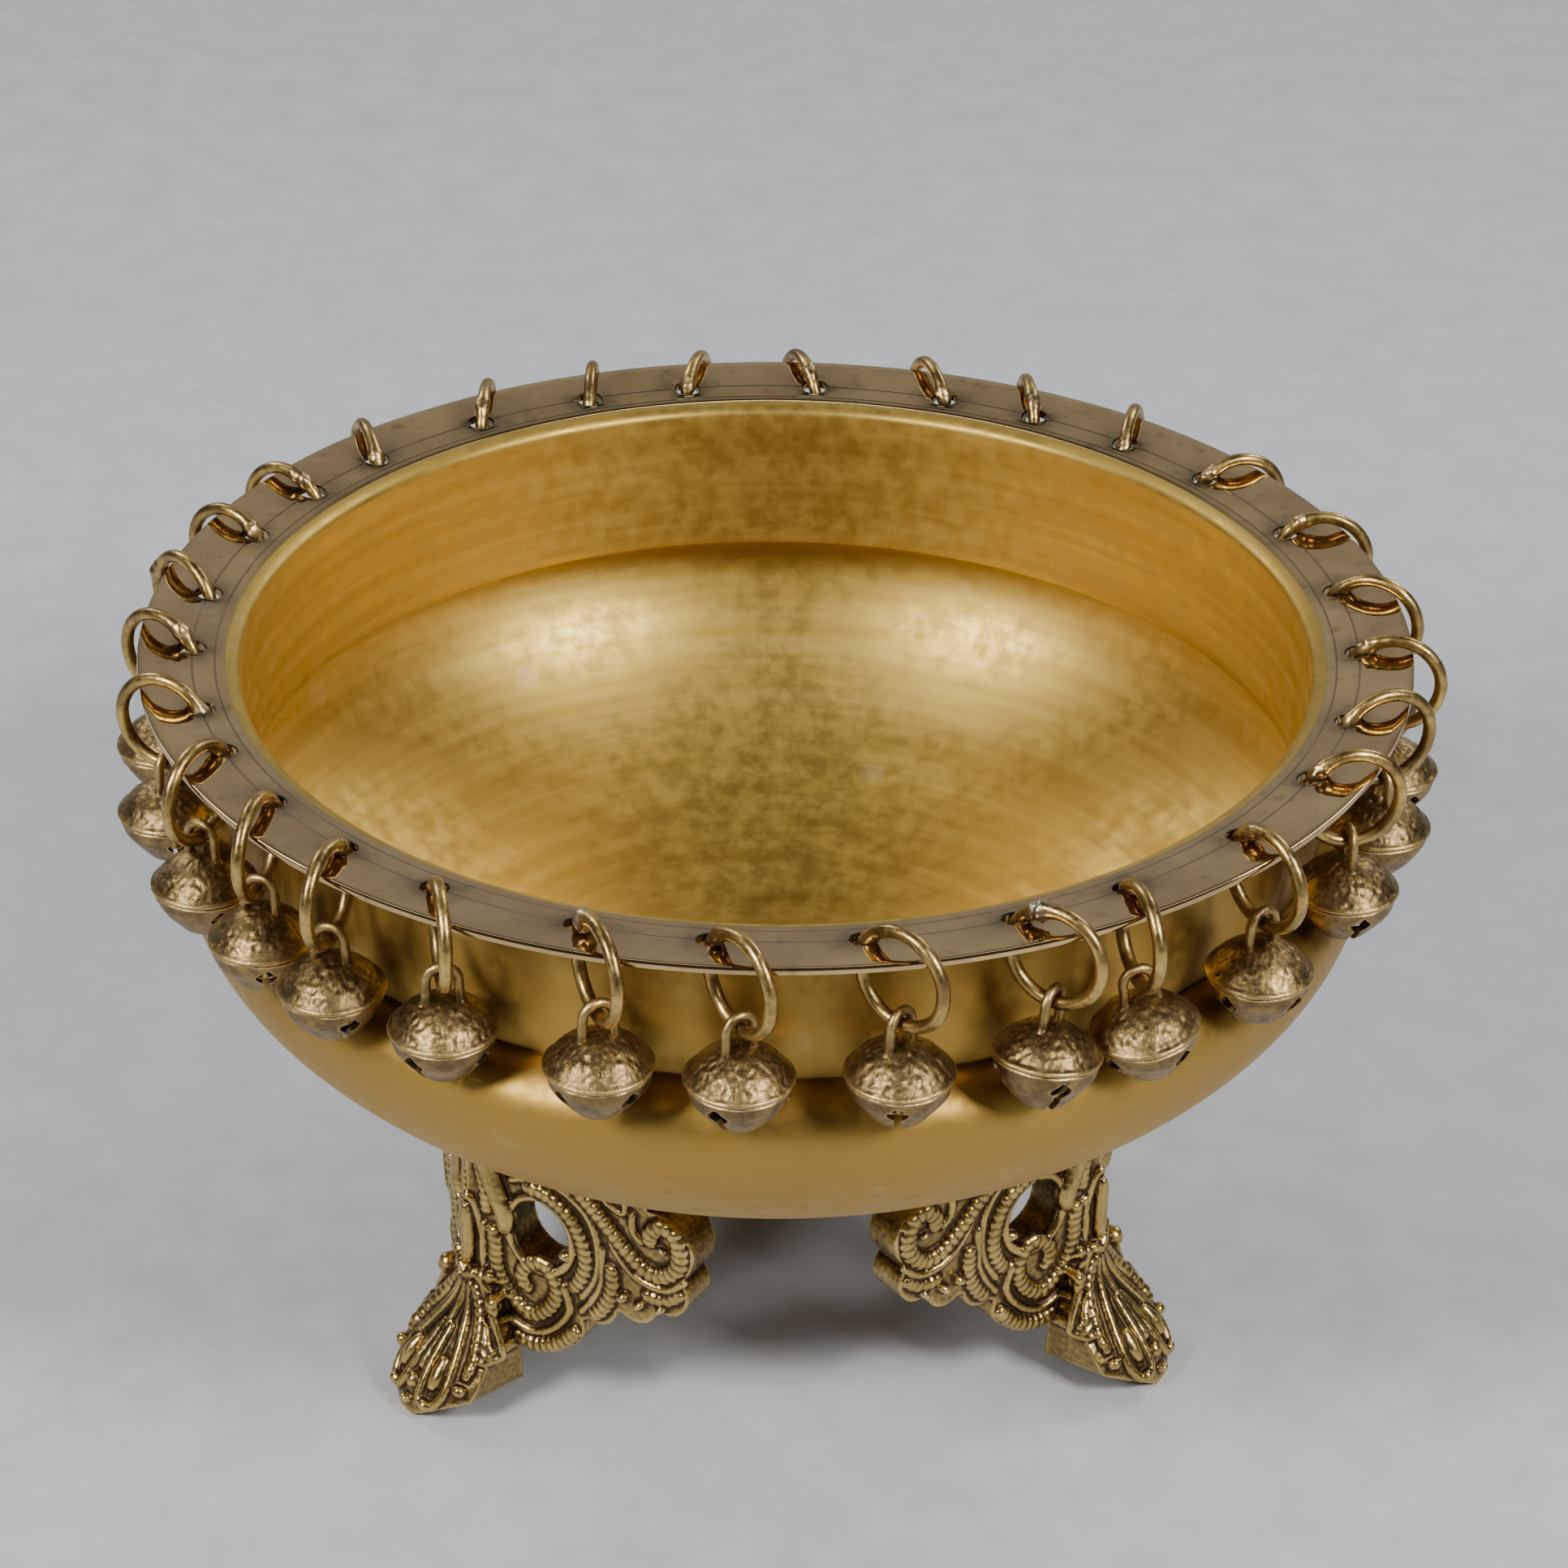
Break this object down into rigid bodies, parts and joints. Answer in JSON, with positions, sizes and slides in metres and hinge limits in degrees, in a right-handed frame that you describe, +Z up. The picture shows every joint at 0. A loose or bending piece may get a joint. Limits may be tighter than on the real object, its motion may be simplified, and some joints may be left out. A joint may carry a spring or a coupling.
{
  "type": "brass urli bowl",
  "caption": "Wide flanged urli bowl in turned brass on cast scroll feet, with closed bells hung on wire rings threaded through holes round the rim.",
  "frame": {"origin": "on the floor, midway under the bowl: the point on the bowl's axis at the level of the feet's soles", "axes": "+Z up along the bowl's axis; -Y towards the front, where the picture was taken from"},
  "size_m": [0.2671, 0.2665, 0.1628],
  "materials": {
    "turned_brass": "satin turned brass with fine lathe lines and a dull brown-grey rim",
    "cast_brass": "cast brass, bright high points over dark patina in the recesses",
    "ring_brass": "aged brass wire",
    "bell_brass": "antique cast brass with a hammered grain"
  },
  "bodies": {
    "bowl_and_feet": {"bowl": "turned_brass", "feet": "cast_brass"},
    "ring_01": {"ring_01": "ring_brass"},
    "ring_02": {"ring_02": "ring_brass"},
    "ring_03": {"ring_03": "ring_brass"},
    "ring_04": {"ring_04": "ring_brass"},
    "ring_05": {"ring_05": "ring_brass"},
    "ring_06": {"ring_06": "ring_brass"},
    "ring_07": {"ring_07": "ring_brass"},
    "ring_08": {"ring_08": "ring_brass"},
    "ring_09": {"ring_09": "ring_brass"},
    "ring_10": {"ring_10": "ring_brass"},
    "ring_11": {"ring_11": "ring_brass"},
    "ring_12": {"ring_12": "ring_brass"},
    "ring_13": {"ring_13": "ring_brass"},
    "ring_14": {"ring_14": "ring_brass"},
    "ring_15": {"ring_15": "ring_brass"},
    "ring_16": {"ring_16": "ring_brass"},
    "ring_17": {"ring_17": "ring_brass"},
    "ring_18": {"ring_18": "ring_brass"},
    "ring_19": {"ring_19": "ring_brass"},
    "ring_20": {"ring_20": "ring_brass"},
    "ring_21": {"ring_21": "ring_brass"},
    "ring_22": {"ring_22": "ring_brass"},
    "ring_23": {"ring_23": "ring_brass"},
    "ring_24": {"ring_24": "ring_brass"},
    "ring_25": {"ring_25": "ring_brass"},
    "ring_26": {"ring_26": "ring_brass"},
    "ring_27": {"ring_27": "ring_brass"},
    "ring_28": {"ring_28": "ring_brass"},
    "ring_29": {"ring_29": "ring_brass"},
    "bell_01": {"bell_01": "bell_brass"},
    "bell_02": {"bell_02": "bell_brass"},
    "bell_03": {"bell_03": "bell_brass"},
    "bell_04": {"bell_04": "bell_brass"},
    "bell_05": {"bell_05": "bell_brass"},
    "bell_06": {"bell_06": "bell_brass"},
    "bell_07": {"bell_07": "bell_brass"},
    "bell_08": {"bell_08": "bell_brass"},
    "bell_09": {"bell_09": "bell_brass"},
    "bell_10": {"bell_10": "bell_brass"},
    "bell_11": {"bell_11": "bell_brass"},
    "bell_12": {"bell_12": "bell_brass"},
    "bell_13": {"bell_13": "bell_brass"},
    "bell_14": {"bell_14": "bell_brass"},
    "bell_15": {"bell_15": "bell_brass"},
    "bell_16": {"bell_16": "bell_brass"},
    "bell_17": {"bell_17": "bell_brass"},
    "bell_18": {"bell_18": "bell_brass"},
    "bell_19": {"bell_19": "bell_brass"},
    "bell_20": {"bell_20": "bell_brass"},
    "bell_21": {"bell_21": "bell_brass"},
    "bell_22": {"bell_22": "bell_brass"},
    "bell_23": {"bell_23": "bell_brass"},
    "bell_24": {"bell_24": "bell_brass"},
    "bell_25": {"bell_25": "bell_brass"},
    "bell_26": {"bell_26": "bell_brass"},
    "bell_27": {"bell_27": "bell_brass"},
    "bell_28": {"bell_28": "bell_brass"},
    "bell_29": {"bell_29": "bell_brass"}
  },
  "joints": [
    {"name": "ring_01_swing", "type": "hinge", "parent": "bowl_and_feet", "child": "ring_01", "pos_m": [-0.10925, -0.05566, 0.15752], "axis": [-0.5128, -0.8534, 0.0932], "range_deg": [-6, 3.5]},
    {"name": "bell_01_swing", "type": "hinge", "parent": "ring_01", "child": "bell_01", "pos_m": [-0.10954, -0.05614, 0.1421], "axis": [-0.8572, 0.515, 0], "range_deg": [-0.5, 11]},
    {"name": "ring_02_swing", "type": "hinge", "parent": "bowl_and_feet", "child": "ring_02", "pos_m": [-0.09619, -0.07593, 0.15751], "axis": [-0.2745, -0.9574, 0.0892], "range_deg": [-3.5, 1]},
    {"name": "bell_02_swing", "type": "hinge", "parent": "ring_02", "child": "bell_02", "pos_m": [-0.09634, -0.07642, 0.14235], "axis": [-0.9613, 0.2756, 0], "range_deg": [-0.5, 2]},
    {"name": "ring_03_swing", "type": "hinge", "parent": "bowl_and_feet", "child": "ring_03", "pos_m": [-0.08156, -0.09171, 0.15753], "axis": [-0.3239, -0.9406, 0.1014], "range_deg": [-0.5, 5]},
    {"name": "bell_03_swing", "type": "hinge", "parent": "ring_03", "child": "bell_03", "pos_m": [-0.08178, -0.09233, 0.1417], "axis": [-0.9455, 0.3256, 0], "range_deg": [-0.5, 16]},
    {"name": "ring_04_swing", "type": "hinge", "parent": "bowl_and_feet", "child": "ring_04", "pos_m": [-0.06014, -0.1067, 0.15751], "axis": [0.173, -0.9812, 0.085], "range_deg": [-6, 2.5]},
    {"name": "bell_04_swing", "type": "hinge", "parent": "ring_04", "child": "bell_04", "pos_m": [-0.06006, -0.10715, 0.14269], "axis": [-0.9848, -0.1736, 0], "range_deg": [-0.5, 16]},
    {"name": "ring_05_swing", "type": "hinge", "parent": "bowl_and_feet", "child": "ring_05", "pos_m": [-0.03151, -0.11836, 0.15751], "axis": [0.4132, -0.9067, 0.085], "range_deg": [-6, 2.5]},
    {"name": "bell_05_swing", "type": "hinge", "parent": "ring_05", "child": "bell_05", "pos_m": [-0.03132, -0.11878, 0.14269], "axis": [-0.91, -0.4147, 0], "range_deg": [-0.5, 16]},
    {"name": "ring_06_swing", "type": "hinge", "parent": "bowl_and_feet", "child": "ring_06", "pos_m": [-0.00621, -0.12232, 0.15751], "axis": [0.5927, -0.801, 0.085], "range_deg": [-6, 2.5]},
    {"name": "bell_06_swing", "type": "hinge", "parent": "ring_06", "child": "bell_06", "pos_m": [-0.00594, -0.12269, 0.14269], "axis": [-0.8039, -0.5948, 0], "range_deg": [-0.5, 16]},
    {"name": "ring_07_swing", "type": "hinge", "parent": "bowl_and_feet", "child": "ring_07", "pos_m": [0.02252, -0.12039, 0.15751], "axis": [0.7633, -0.6405, 0.085], "range_deg": [-6, 2.5]},
    {"name": "bell_07_swing", "type": "hinge", "parent": "ring_07", "child": "bell_07", "pos_m": [0.02287, -0.12069, 0.14269], "axis": [-0.6428, -0.766, 0], "range_deg": [-0.5, 16]},
    {"name": "ring_08_swing", "type": "hinge", "parent": "bowl_and_feet", "child": "ring_08", "pos_m": [0.05013, -0.11186, 0.15752], "axis": [0.8445, -0.5277, 0.0913], "range_deg": [-6, 1.5]},
    {"name": "bell_08_swing", "type": "hinge", "parent": "ring_08", "child": "bell_08", "pos_m": [0.05059, -0.11215, 0.14222], "axis": [-0.5299, -0.848, 0], "range_deg": [-3.5, 5]},
    {"name": "ring_09_swing", "type": "hinge", "parent": "bowl_and_feet", "child": "ring_09", "pos_m": [0.06619, -0.10343, 0.15754], "axis": [0.299, -0.9483, 0.106], "range_deg": [-1.5, 6]},
    {"name": "bell_09_swing", "type": "hinge", "parent": "ring_09", "child": "bell_09", "pos_m": [0.06641, -0.1041, 0.14153], "axis": [-0.9537, -0.3007, 0], "range_deg": [-4, 5]},
    {"name": "ring_10_swing", "type": "hinge", "parent": "bowl_and_feet", "child": "ring_10", "pos_m": [0.09049, -0.08305, 0.15754], "axis": [0.612, -0.7834, 0.1083], "range_deg": [-6, 6]},
    {"name": "bell_10_swing", "type": "hinge", "parent": "ring_10", "child": "bell_10", "pos_m": [0.09094, -0.08363, 0.14146], "axis": [-0.788, -0.6157, 0], "range_deg": [-2.5, 16]},
    {"name": "ring_11_swing", "type": "hinge", "parent": "bowl_and_feet", "child": "ring_11", "pos_m": [0.10947, -0.05509, 0.15751], "axis": [0.9837, 0.1558, 0.0892], "range_deg": [-6, 3.5]},
    {"name": "bell_11_swing", "type": "hinge", "parent": "ring_11", "child": "bell_11", "pos_m": [0.10998, -0.05501, 0.14235], "axis": [0.1564, -0.9877, 0], "range_deg": [-0.5, 16]},
    {"name": "ring_12_swing", "type": "hinge", "parent": "bowl_and_feet", "child": "ring_12", "pos_m": [0.11848, -0.03144, 0.15752], "axis": [0.9416, 0.3242, 0.0913], "range_deg": [-6, 3.5]},
    {"name": "bell_12_swing", "type": "hinge", "parent": "ring_12", "child": "bell_12", "pos_m": [0.11899, -0.03126, 0.14222], "axis": [0.3256, -0.9455, 0], "range_deg": [-0.5, 10]},
    {"name": "ring_13_swing", "type": "hinge", "parent": "bowl_and_feet", "child": "ring_13", "pos_m": [0.12262, -0.00736, 0.15754], "axis": [0.9758, -0.1897, 0.1088], "range_deg": [-3, 3.5]},
    {"name": "bell_13_swing", "type": "hinge", "parent": "ring_13", "child": "bell_13", "pos_m": [0.12334, -0.0075, 0.14145], "axis": [-0.1908, -0.9816, 0], "range_deg": [-2.5, 10]},
    {"name": "ring_14_swing", "type": "hinge", "parent": "bowl_and_feet", "child": "ring_14", "pos_m": [0.12142, 0.01707, 0.15752], "axis": [0.9096, -0.405, 0.0932], "range_deg": [-3.5, 6]},
    {"name": "bell_14_swing", "type": "hinge", "parent": "ring_14", "child": "bell_14", "pos_m": [0.12193, 0.01684, 0.1421], "axis": [-0.4067, -0.9135, 0], "range_deg": [-0.5, 10]},
    {"name": "ring_15_swing", "type": "hinge", "parent": "bowl_and_feet", "child": "ring_15", "pos_m": [0.11375, 0.04602, 0.15753], "axis": [0.994, -0.0434, 0.0999], "range_deg": [-4.5, 6]},
    {"name": "bell_15_swing", "type": "hinge", "parent": "ring_15", "child": "bell_15", "pos_m": [0.11439, 0.04599, 0.14176], "axis": [-0.0436, -0.999, 0], "range_deg": [-0.5, 16]},
    {"name": "ring_16_swing", "type": "hinge", "parent": "bowl_and_feet", "child": "ring_16", "pos_m": [0.09847, 0.07326, 0.15753], "axis": [0.9653, 0.2407, 0.1014], "range_deg": [-5, 6]},
    {"name": "bell_16_swing", "type": "hinge", "parent": "ring_16", "child": "bell_16", "pos_m": [0.0991, 0.07342, 0.1417], "axis": [0.2419, -0.9703, 0], "range_deg": [-0.5, 16]},
    {"name": "ring_17_swing", "type": "hinge", "parent": "bowl_and_feet", "child": "ring_17", "pos_m": [0.07727, 0.09533, 0.15753], "axis": [0.2491, 0.9633, 0.0999], "range_deg": [-6, 4.5]},
    {"name": "bell_17_swing", "type": "hinge", "parent": "ring_17", "child": "bell_17", "pos_m": [0.07743, 0.09595, 0.14176], "axis": [0.9681, -0.2504, 0], "range_deg": [-0.5, 16]},
    {"name": "ring_18_swing", "type": "hinge", "parent": "bowl_and_feet", "child": "ring_18", "pos_m": [0.05539, 0.10935, 0.15752], "axis": [-0.1214, 0.9884, 0.0913], "range_deg": [-6, 2.5]},
    {"name": "bell_18_swing", "type": "hinge", "parent": "ring_18", "child": "bell_18", "pos_m": [0.05532, 0.10989, 0.14222], "axis": [0.9925, 0.1219, 0], "range_deg": [-0.5, 7]},
    {"name": "ring_19_swing", "type": "hinge", "parent": "bowl_and_feet", "child": "ring_19", "pos_m": [0.0339, 0.11773, 0.15751], "axis": [-0.3651, 0.9269, 0.0871], "range_deg": [-2, 3]},
    {"name": "bell_19_swing", "type": "hinge", "parent": "ring_19", "child": "bell_19", "pos_m": [0.03372, 0.11819, 0.14251], "axis": [0.9304, 0.3665, 0], "range_deg": [-0.5, 16]},
    {"name": "ring_20_swing", "type": "hinge", "parent": "bowl_and_feet", "child": "ring_20", "pos_m": [0.00541, 0.12259, 0.15753], "axis": [-0.3727, 0.9225, 0.0999], "range_deg": [-6, 2]},
    {"name": "bell_20_swing", "type": "hinge", "parent": "ring_20", "child": "bell_20", "pos_m": [0.00517, 0.12318, 0.14176], "axis": [0.9272, 0.3746, 0], "range_deg": [-0.5, 7]},
    {"name": "ring_21_swing", "type": "hinge", "parent": "bowl_and_feet", "child": "ring_21", "pos_m": [-0.01846, 0.12134, 0.15753], "axis": [0.2407, 0.9653, 0.1014], "range_deg": [-2, 3]},
    {"name": "bell_21_swing", "type": "hinge", "parent": "ring_21", "child": "bell_21", "pos_m": [-0.0183, 0.12197, 0.1417], "axis": [0.9703, -0.2419, 0], "range_deg": [-0.5, 7]},
    {"name": "ring_22_swing", "type": "hinge", "parent": "bowl_and_feet", "child": "ring_22", "pos_m": [-0.04152, 0.11552, 0.15753], "axis": [0.0174, 0.9946, 0.1027], "range_deg": [-3, 5.5]},
    {"name": "bell_22_swing", "type": "hinge", "parent": "ring_22", "child": "bell_22", "pos_m": [-0.04151, 0.11618, 0.14165], "axis": [0.9998, -0.0175, 0], "range_deg": [-0.5, 10]},
    {"name": "ring_23_swing", "type": "hinge", "parent": "bowl_and_feet", "child": "ring_23", "pos_m": [-0.06442, 0.10425, 0.15751], "axis": [0.0695, 0.9936, 0.0892], "range_deg": [-3.5, 6]},
    {"name": "bell_23_swing", "type": "hinge", "parent": "ring_23", "child": "bell_23", "pos_m": [-0.06439, 0.10476, 0.14235], "axis": [0.9976, -0.0698, 0], "range_deg": [-0.5, 16]},
    {"name": "ring_24_swing", "type": "hinge", "parent": "bowl_and_feet", "child": "ring_24", "pos_m": [-0.08885, 0.08461, 0.15753], "axis": [-0.3404, 0.9351, 0.0984], "range_deg": [-4.5, 5]},
    {"name": "bell_24_swing", "type": "hinge", "parent": "ring_24", "child": "bell_24", "pos_m": [-0.08906, 0.08519, 0.14183], "axis": [0.9397, 0.342, 0], "range_deg": [-0.5, 16]},
    {"name": "ring_25_swing", "type": "hinge", "parent": "bowl_and_feet", "child": "ring_25", "pos_m": [-0.10418, 0.0651, 0.15754], "axis": [-0.8429, 0.5267, 0.1097], "range_deg": [-5, 1]},
    {"name": "bell_25_swing", "type": "hinge", "parent": "ring_25", "child": "bell_25", "pos_m": [-0.10481, 0.06549, 0.14142], "axis": [0.5299, 0.848, 0], "range_deg": [-3.5, 16]},
    {"name": "ring_26_swing", "type": "hinge", "parent": "bowl_and_feet", "child": "ring_26", "pos_m": [-0.11415, 0.04532, 0.15754], "axis": [-0.8338, 0.5415, 0.1076], "range_deg": [-1, 4.5]},
    {"name": "bell_26_swing", "type": "hinge", "parent": "ring_26", "child": "bell_26", "pos_m": [-0.11476, 0.04572, 0.14148], "axis": [0.5446, 0.8387, 0], "range_deg": [-2, 4]},
    {"name": "ring_27_swing", "type": "hinge", "parent": "bowl_and_feet", "child": "ring_27", "pos_m": [-0.12068, 0.02114, 0.15751], "axis": [-0.673, 0.7345, 0.0871], "range_deg": [-3, 4.5]},
    {"name": "bell_27_swing", "type": "hinge", "parent": "ring_27", "child": "bell_27", "pos_m": [-0.12101, 0.0215, 0.14251], "axis": [0.7373, 0.6756, 0], "range_deg": [-0.5, 14]},
    {"name": "ring_28_swing", "type": "hinge", "parent": "bowl_and_feet", "child": "ring_28", "pos_m": [-0.12247, -0.00334, 0.15751], "axis": [-0.8059, 0.5855, 0.0871], "range_deg": [-3, 6]},
    {"name": "bell_28_swing", "type": "hinge", "parent": "ring_28", "child": "bell_28", "pos_m": [-0.12287, -0.00306, 0.14251], "axis": [0.5878, 0.809, 0], "range_deg": [-0.5, 14]},
    {"name": "ring_29_swing", "type": "hinge", "parent": "bowl_and_feet", "child": "ring_29", "pos_m": [-0.11884, -0.02977, 0.15751], "axis": [-0.9136, 0.3972, 0.0871], "range_deg": [-3, 6]},
    {"name": "bell_29_swing", "type": "hinge", "parent": "ring_29", "child": "bell_29", "pos_m": [-0.11929, -0.02958, 0.14251], "axis": [0.3987, 0.9171, 0], "range_deg": [-0.5, 16]}
  ]
}
